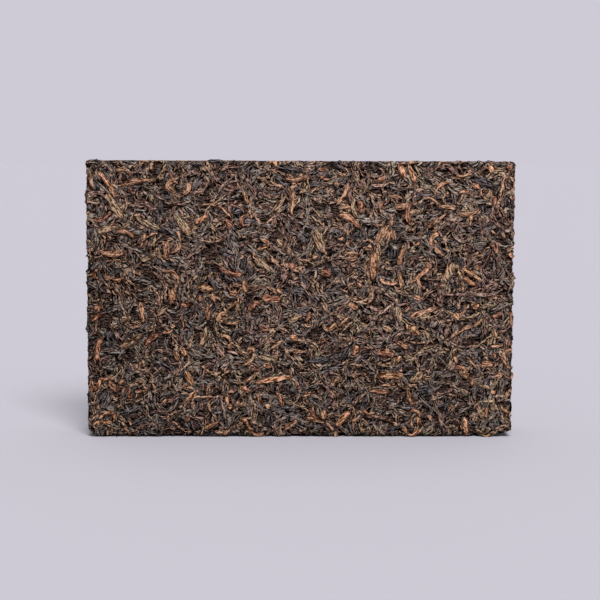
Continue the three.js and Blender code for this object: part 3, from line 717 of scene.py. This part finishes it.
def leaf_bodies(drawn):
    """Rings of points for all the leaves of a kind: flattened tubes with folds that wind along them, and
    tops pressed flat by the mould. Also how far round its leaf each point is, as an angle."""
    n, span = drawn["points"].shape[:2]
    sides = drawn["sides"]
    line = drawn["points"] + drawn["outs"] * drawn["heights"][..., None]
    ahead = unit(np.gradient(line, axis=1))
    side = unit(np.cross(drawn["outs"], ahead))
    up = np.cross(ahead, side)
    s = np.linspace(0, 1, span)
    named = drawn["named"][:, None]
    fullest = rng.uniform(*FULLEST, (n, 1))
    taper = np.where(named, rng.uniform(*NAMED_TAPER, (n, 1)), rng.uniform(*drawn["taper"], (n, 1)))
    full = np.sin(np.pi * s[None] ** fullest) ** taper
    full = full * (1 + rng.normal(0, np.where(named, NAMED_UNEVEN, UNEVEN), (n, span)))
    full[:, [0, -1]] = 0
    folds = (np.arange(sides) % 2) * drawn["pleats"] * rng.uniform(*FOLD_SHARE, (n, 1, sides))
    depth = np.where(named, NAMED_FOLDS, 1.0)[..., None]
    reach = RIDGE - depth * (folds + rng.normal(0, RIPPLE, (n, span, sides)))
    angle = 2 * np.pi * np.arange(sides) / sides
    wind = rng.normal(0, drawn["twist"], (n, 1, 1)) * s[None, :, None]
    angle = angle[None, None] + rng.uniform(0, 2 * np.pi, (n, 1, 1)) + wind
    half_wide = (drawn["wide"] / 2)[:, None, None] * full[..., None] * reach
    half_thick = (drawn["thickness"] / 2)[:, None, None] * np.sqrt(np.maximum(full, 0))[..., None] * reach
    rise = half_thick * np.sin(angle)
    top = (drawn["ceiling"][:, None] - drawn["heights"])[..., None] - FLATTENED_FROM
    rise = np.where(rise > top, top + FLATTENED_TO * (rise - top), rise)
    body = (line[:, :, None] + side[:, :, None] * (half_wide * np.cos(angle))[..., None]
            + up[:, :, None] * rise[..., None])
    return body, angle


def light_on(drawn, angle):
    """How much light reaches each point of the leaves of a kind. The sides and tips, down between the
    neighbours, are darker: those of wide leaves most."""
    beside = np.clip(THIN_SIDE_LIGHT - LESS_PER_MM * drawn["wide"], *SIDE_LIGHT)[:, None, None]
    light = np.clip(beside + CROWN_GAIN * np.sin(angle), BELOW_SHARE * beside, CROWN_LIGHT)
    tips = np.full((len(angle), 1), TIP_LIGHT)
    return np.concatenate([tips, light[:, 1:-1].reshape(len(angle), -1), tips], 1)


def leaf_piece(drawn):
    """One mesh of all the leaves of a kind."""
    body, angle = leaf_bodies(drawn)
    n, span, sides = angle.shape
    rings = span - 2
    between = body[:, 1:-1].reshape(n, rings * sides, 3)
    vertices = np.concatenate([body[:, 0, :1], between, body[:, -1, :1]], 1)
    faces, places = tube_faces(rings, sides)
    points_each = vertices.shape[1]
    grain = places[None] * np.stack([drawn["length"], WAY_ROUND * drawn["wide"]], -1)[:, None, None]
    grain = grain + rng.uniform(0, GRAIN_FIELD, (n, 1, 1, 2))
    # The light from light_on is painted into the colour: painted shade on the sides and tips, and painted
    # light on the crowns.
    shade = drawn["shade"][:, None] * light_on(drawn, angle)
    return make_piece(drawn["name"], vertices.reshape(-1, 3), copied_faces(faces, n, points_each),
                      atlas(n, places, aspect=0.5).reshape(-1, 2), grain.reshape(-1, 2),
                      np.repeat(drawn["tone"], points_each), shade.ravel())


def icosahedron():
    """The twelve corners of a ball of twenty triangles, one unit from its middle, and the triangles."""
    g = (1 + 5 ** 0.5) / 2
    corners = [(-1, g, 0), (1, g, 0), (-1, -g, 0), (1, -g, 0), (0, -1, g), (0, 1, g),
               (0, -1, -g), (0, 1, -g), (g, 0, -1), (g, 0, 1), (-g, 0, -1), (-g, 0, 1)]
    faces = [(0, 11, 5), (0, 5, 1), (0, 1, 7), (0, 7, 10), (0, 10, 11), (1, 5, 9), (5, 11, 4), (11, 10, 2),
             (10, 7, 6), (7, 1, 8), (3, 9, 4), (3, 4, 2), (3, 2, 6), (3, 6, 8), (3, 8, 9), (4, 9, 5),
             (2, 4, 11), (6, 2, 10), (8, 6, 7), (9, 8, 1)]
    return unit(np.array(corners, float)), np.array(faces)


def crumb_piece(field):
    """Broken crumbs of leaf, lying in the hollows."""
    corners, faces = icosahedron()
    places, headings = spread_over_bed(CRUMBS)
    at, out = settle(places)
    n, points_each = len(at), len(corners)
    height = field[cells(at, out)[0]]
    ahead = level(headings, out)
    side = np.cross(unit(out), ahead)
    size = rng.uniform(*CRUMB_SIZE, n) * rng.uniform(*CRUMB_WEAR, n)
    height = np.minimum(height + CRUMB_LIFT * size, BED_DEPTH - CRUMB_GAP - 0.5 * size)
    lumps = corners[None] * (1 + rng.normal(0, CRUMB_LUMPS, (n, points_each, 1)))
    stretch = size[:, None] * np.stack([rng.uniform(*share, n) for share in CRUMB_SHARES], -1)
    lumps = lumps * stretch[:, None]
    centre = at + out * height[:, None]
    vertices = (centre[:, None] + lumps[..., :1] * ahead[:, None] + lumps[..., 1:2] * side[:, None]
                + lumps[..., 2:] * out[:, None])
    # Each triangle has its own square in the crumb's cell of the bake map, and in that of the grain, in
    # which the cell is this many millimetres wide.
    across, down, grain_cell = 5, 4, 3
    i = np.arange(len(faces))[:, None]
    triangle = np.array([(0.1, 0.1), (0.9, 0.1), (0.1, 0.9)])[None]
    uv = (np.stack([i % across, i // across], -1) + triangle) / (across, down)
    grain = uv[None] * grain_cell + rng.uniform(0, GRAIN_FIELD, (n, 1, 1, 2))
    tone = np.repeat(rng.random(n), points_each)
    return make_piece("crumbs", vertices.reshape(-1, 3), copied_faces(faces, n, points_each),
                      atlas(n, uv).reshape(-1, 2), grain.reshape(-1, 2), tone,
                      np.repeat(shade_at(at), points_each), smooth=False)


def core_piece():
    """The core under the leaves: the bed itself, closed all round and lumpy with packed leaf."""
    size = BED_HIGH - BED_LOW
    counts = np.maximum(2, np.round(size / CORE_SPACING).astype(int))
    # The sides lie in a grid in the bake map, with a margin round each, and apart in the map of the grain.
    across, down, margin, apart = 2, 3, 0.03, 40
    vertices, faces, bake, grain, start = [], [], [], [], 0
    for side, (axis, end) in enumerate(SIDES):
        i, j = (k for k in range(3) if k != axis)
        u, v = np.meshgrid(np.linspace(0, 1, counts[i] + 1), np.linspace(0, 1, counts[j] + 1), indexing="ij")
        place = np.zeros(u.shape + (3,))
        place[..., axis] = (BED_LOW, BED_HIGH)[end][axis]
        place[..., i] = BED_LOW[i] + u * size[i]
        place[..., j] = BED_LOW[j] + v * size[j]
        number = start + np.arange(u.size).reshape(u.shape)
        a, b, c, d = number[:-1, :-1], number[1:, :-1], number[1:, 1:], number[:-1, 1:]
        quads = [(a, b, c), (a, c, d)]
        if (axis != 1) != bool(end):
            quads = [(a, c, b), (a, d, c)]
        triangles = np.concatenate([np.stack(q, -1).reshape(-1, 3) for q in quads])
        flat = np.stack([u, v], -1).reshape(-1, 2)[triangles - start]
        vertices.append(place.reshape(-1, 3))
        faces.append(triangles)
        cell = np.array([side % across, side // across])
        bake.append((cell + inset(flat, margin)) / (across, down))
        grain.append(flat * (size[i], size[j]) + apart * side)
        start += u.size
    place, out = settle(np.concatenate(vertices))
    # Points on a seam lie in two grids: the first of them stands for both, so that the core is closed.
    _, first, same = np.unique(np.round(place, 4), axis=0, return_index=True, return_inverse=True)
    place, out = place[first], out[first]
    all_faces = same.ravel()[np.concatenate(faces)]
    lumps = np.clip(lumps_at(place, LUMPS_PER_MM, octaves=3), -1, 1)
    place = place + out * (LUMP_HEIGHT * lumps - BARE_DEPTH)[:, None]
    return make_piece("core", place, all_faces, np.concatenate(bake).reshape(-1, 2),
                      np.concatenate(grain).reshape(-1, 2), np.full(len(place), CORE_TONE),
                      np.ones(len(place)))


# ---- Materials ----

# How the pieces look. stops are the colours of a ramp from tone 0 to tone 1, as they look on a screen; gloss
# is how glossy the ridges are; the pleat range is how dark the dips of the pleats and how light their crests
# make the leaf, which is painted shade and light; speck is how dark and how light the specks make the leaf.
LOOKS = {
    # The core shows only in the gaps between leaves. It is darker than the leaves, and that darkness is
    # painted shade for the gaps.
    "core": dict(stops=[(0, (38, 24, 18)), (1, (60, 42, 34))]),
    "crumbs": dict(stops=[(0, (56, 42, 35)), (0.6, (88, 70, 60)), (0.9, (100, 77, 64)), (1, (112, 83, 66))]),
    "dark_leaves": dict(stops=[(0, (44, 36, 35)), (0.12, (60, 51, 49)), (0.4, (73, 61, 56)),
                               (0.7, (83, 71, 61)), (1, (96, 84, 75))], gloss=0.6, pleat_shade=(0.15, 1.85),
                        speck=(0.4, 1.25)),
    "brown_leaves": dict(stops=[(0, (81, 60, 52)), (0.3, (93, 72, 63)), (0.6, (101, 83, 65)),
                                (0.85, (110, 83, 65)), (1, (104, 85, 72))]),
    "short_leaves": dict(stops=[(0, (73, 56, 50)), (0.35, (88, 70, 62)), (0.6, (97, 80, 64)),
                                (0.85, (107, 83, 66)), (1, (120, 87, 67))]),
    "broad_leaves": dict(stops=[(0, (63, 54, 51)), (0.4, (81, 69, 60)), (0.75, (95, 81, 66)),
                                (1, (106, 87, 69))], gloss=0.5),
    "bud_leaves": dict(stops=[(0, (120, 82, 66)), (0.3, (163, 123, 96)), (0.5, (138, 107, 87)),
                              (0.7, (160, 123, 94)), (1, (127, 111, 93))], gloss=0.2, pleat_shade=(0.4, 1.36),
                       speck=(0.6, 1.12)),
    "strands": dict(stops=[(0, (65, 52, 45)), (0.3, (90, 71, 62)), (0.45, (108, 85, 74)),
                           (0.55, (135, 107, 94)), (1, (127, 109, 97))], gloss=0.1, pleat_shade=(0.45, 1.4),
                    speck=(0.5, 1.2)),
}

# Noise lies mostly in the first of these spans. Shade, roughness and gloss follow it over narrower ones,
# which gives pleats and specks crisp sides.
NOISE_SPAN = (0.3, 0.7)
PLEAT_SHADE_SPAN, SPECK_SPAN = (0.4, 0.57), (0.4, 0.55)
ROUGH_SPAN, GLOSS_SPAN = (0.4, 0.6), (0.42, 0.6)

# How rough the ridges and the folds are, how deep the bump is and the share that specks have in it, and how
# much a leaf's tone shifts along it.
RIDGE_ROUGH, FOLD_ROUGH = 0.42, 0.75
BUMP_DEPTH, SPECK_BUMP = 0.6, 0.15
TONE_SHIFT = 0.15

# Where the shade is low, a leaf's colour is not only darker but deeper: over this span of shade, which is
# mostly painted shade along with the leaf's own darker specks and patches, it is raised to a power that falls
# from this to 1.
DEEP_SPAN = (0.1, 1.0)
DEEPEST = 2.05


def srgb(r, g, b):
    """A colour named as it looks on a screen, 0 to 255, as the light that a shader works with."""
    return tuple(((c / 255 + 0.055) / 1.055) ** 2.4 if c > 10 else c / 255 / 12.92 for c in (r, g, b)) + (1,)


def nodes_of(owner):
    """The nodes and links of a material or a world."""
    owner.use_nodes = True
    return owner.node_tree.nodes, owner.node_tree.links


def map_range(nodes, low, high, to_low, to_high):
    node = nodes.new("ShaderNodeMapRange")
    for key, value in (("From Min", low), ("From Max", high), ("To Min", to_low), ("To Max", to_high)):
        node.inputs[key].default_value = value
    return node


def leaf_material(name, stops, gloss=0.25, pleat_shade=(0.0, 2.0), speck=(0.3, 1.35)):
    """Dried leaf: a ramp of colours by the leaf's own tone, darkened and lightened by specks along it, with
    painted shade in the dips of the pleats and painted light on their crests, and a bump from the same
    pleats. The shade on the mesh, which holds more painted light and shade, darkens it too."""
    material = bpy.data.materials.new(name)
    nodes, links = nodes_of(material)
    shader = nodes["Principled BSDF"]

    def noise_of(along, across, detail, roughness):
        """Noise over the leaf, with so many features to a millimetre along it and across it."""
        scaled = nodes.new("ShaderNodeVectorMath")
        scaled.operation = "MULTIPLY"
        scaled.inputs[1].default_value = (along, across, 1)
        texture = nodes.new("ShaderNodeTexNoise")
        texture.inputs["Scale"].default_value = 1.0
        texture.inputs["Detail"].default_value = detail
        texture.inputs["Roughness"].default_value = roughness
        links.new(grain.outputs["UV"], scaled.inputs[0])
        links.new(scaled.outputs[0], texture.inputs["Vector"])
        return texture.outputs["Fac"]

    def remap(source, *spans):
        node = map_range(nodes, *spans)
        links.new(source, node.inputs["Value"])
        return node.outputs["Result"]

    def math_of(operation, a, b):
        node = nodes.new("ShaderNodeMath")
        node.operation = operation
        links.new(a, node.inputs[0])
        links.new(b, node.inputs[1])
        return node.outputs[0]

    def value_of(layer):
        node = nodes.new("ShaderNodeAttribute")
        node.attribute_name = layer
        return node.outputs["Fac"]

    grain = nodes.new("ShaderNodeUVMap")
    grain.uv_map = "Grain"
    pleats = noise_of(along=0.45, across=2.5, detail=2.0, roughness=0.5)
    specks = noise_of(along=1.2, across=2.0, detail=2.0, roughness=0.6)
    blotches = noise_of(along=0.45, across=0.6, detail=2.0, roughness=0.5)

    # The leaf's tone, shifted in blotches along it, picks the colour.
    ramp = nodes.new("ShaderNodeValToRGB")
    for i, (at, colour) in enumerate(stops):
        stop = ramp.color_ramp.elements[i] if i < 2 else ramp.color_ramp.elements.new(at)
        stop.position, stop.color = at, srgb(*colour)
    shift = remap(blotches, *NOISE_SPAN, -TONE_SHIFT, TONE_SHIFT)
    links.new(math_of("ADD", value_of("tone"), shift), ramp.inputs["Fac"])

    # Painted shade and light: the pleats darken the colour in their dips and lighten it on their crests, and
    # the mesh's shade multiplies in. The specks are the leaf's own colour.
    shade = math_of("MULTIPLY", remap(pleats, *PLEAT_SHADE_SPAN, *pleat_shade), remap(specks, *SPECK_SPAN, *speck))
    shade = math_of("MULTIPLY", shade, value_of("shade"))
    deepen = nodes.new("ShaderNodeGamma")
    links.new(ramp.outputs["Color"], deepen.inputs["Color"])
    links.new(remap(shade, *DEEP_SPAN, DEEPEST, 1.0), deepen.inputs["Gamma"])
    tint = nodes.new("ShaderNodeMix")
    tint.data_type, tint.blend_type = "RGBA", "MULTIPLY"
    tint.inputs["Factor"].default_value = 1.0
    links.new(deepen.outputs["Color"], tint.inputs["A"])
    links.new(shade, tint.inputs["B"])
    links.new(tint.outputs["Result"], shader.inputs["Base Color"])
    links.new(remap(pleats, *ROUGH_SPAN, FOLD_ROUGH, RIDGE_ROUGH), shader.inputs["Roughness"])
    links.new(remap(pleats, *GLOSS_SPAN, 0.0, gloss), shader.inputs["Specular IOR Level"])

    bump = nodes.new("ShaderNodeBump")
    bump.inputs["Strength"].default_value = 1.0
    bump.inputs["Distance"].default_value = BUMP_DEPTH * MM
    links.new(math_of("ADD", pleats, remap(specks, *NOISE_SPAN, 0, SPECK_BUMP)), bump.inputs["Height"])
    links.new(bump.outputs["Normal"], shader.inputs["Normal"])
    return material


# ---- The brick ----

kinds = [draw_kind(name) for name in KINDS]
field = press(kinds)
pieces = [core_piece(), crumb_piece(field)] + [leaf_piece(drawn) for drawn in kinds]
for piece in pieces:
    piece.data.materials.append(leaf_material(piece.name, **LOOKS[piece.name]))
    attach(piece, "root")
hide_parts("tea_brick")


# ---- Floor, light and camera ----

# How far the floor reaches each way, in metres, and the colours of the floor and of the studio round it.
FLOOR_REACH = 40.0
FLOOR_COLOUR = (160, 158, 165)
STUDIO_COLOUR = (246, 242, 255)

# The camera stands half a metre in front of the brick, a little left of its middle, level with its top.
# Its angles are in degrees.
CAMERA_PLACE = (-10.7, -511.5, 90.9)
CAMERA_PITCH, CAMERA_YAW, CAMERA_ROLL = 5.18, 1.2, 0.21
CAMERA_SENSOR, CAMERA_LENS = 36.0, 91.8


def plain_material(name, colour):
    material = bpy.data.materials.new(name)
    shader = nodes_of(material)[0]["Principled BSDF"]
    shader.inputs["Base Color"].default_value = srgb(*colour)
    shader.inputs["Roughness"].default_value = 0.9
    shader.inputs["Specular IOR Level"].default_value = 0.2
    return material


def make_floor():
    mesh = bpy.data.meshes.new("floor")
    corners = [(x * FLOOR_REACH, y * FLOOR_REACH, 0) for x, y in ((-1, -1), (1, -1), (1, 1), (-1, 1))]
    mesh.from_pydata(corners, [], [(0, 1, 2, 3)])
    mesh.materials.append(plain_material("floor", FLOOR_COLOUR))
    floor = add_object("floor", mesh)


def make_sun(name, azimuth, elevation, softness, strength):
    """A wide soft lamp far away. Azimuth 0 stands in front of the brick; angles are in degrees."""
    data = bpy.data.lights.new(name, "SUN")
    data.angle = math.radians(softness)
    data.energy = strength
    turn, lift = math.radians(azimuth), math.radians(elevation)
    away = Vector((math.sin(turn) * math.cos(lift), -math.cos(turn) * math.cos(lift), math.sin(lift)))
    add_object(name, data).rotation_euler = (-away).to_track_quat("-Z", "Y").to_euler()


def make_world(horizon, overhead, dims_from=0.25, dims_to=0.7):
    """A pale studio all round, dimmer overhead: how bright it is at the horizon and straight up, and the
    heights, from 0 to 1, between which it dims."""
    world = bpy.data.worlds.new("studio")
    nodes, links = nodes_of(world)
    background = nodes["Background"]
    background.inputs["Color"].default_value = srgb(*STUDIO_COLOUR)
    way = nodes.new("ShaderNodeTexCoord")
    split = nodes.new("ShaderNodeSeparateXYZ")
    fall = map_range(nodes, dims_from, dims_to, horizon, overhead)
    links.new(way.outputs["Generated"], split.inputs[0])
    links.new(split.outputs["Z"], fall.inputs["Value"])
    links.new(fall.outputs["Result"], background.inputs["Strength"])
    bpy.context.scene.world = world


def make_camera():
    pitch, yaw, roll = (math.radians(a) for a in (CAMERA_PITCH, CAMERA_YAW, CAMERA_ROLL))
    ahead = Vector((math.sin(yaw) * math.cos(pitch), math.cos(yaw) * math.cos(pitch), -math.sin(pitch)))
    level_right = ahead.cross(Vector((0, 0, 1))).normalized()
    above = level_right.cross(ahead)
    right = level_right * math.cos(roll) + above * math.sin(roll)
    up = right.cross(ahead)
    data = bpy.data.cameras.new("camera")
    data.sensor_width = CAMERA_SENSOR
    data.lens = CAMERA_LENS
    data.clip_start = 0.01
    camera = add_object("camera", data)
    camera.matrix_world = Matrix((right, up, -ahead)).transposed().to_4x4()
    camera.location = Vector(CAMERA_PLACE) * MM
    bpy.context.scene.camera = camera


make_floor()
make_sun("key", azimuth=10, elevation=48, softness=30, strength=4.8)
make_sun("fill", azimuth=170, elevation=70, softness=60, strength=0.8)
make_world(horizon=0.672, overhead=0.3)
make_camera()
bpy.context.scene.view_settings.view_transform = "Standard"
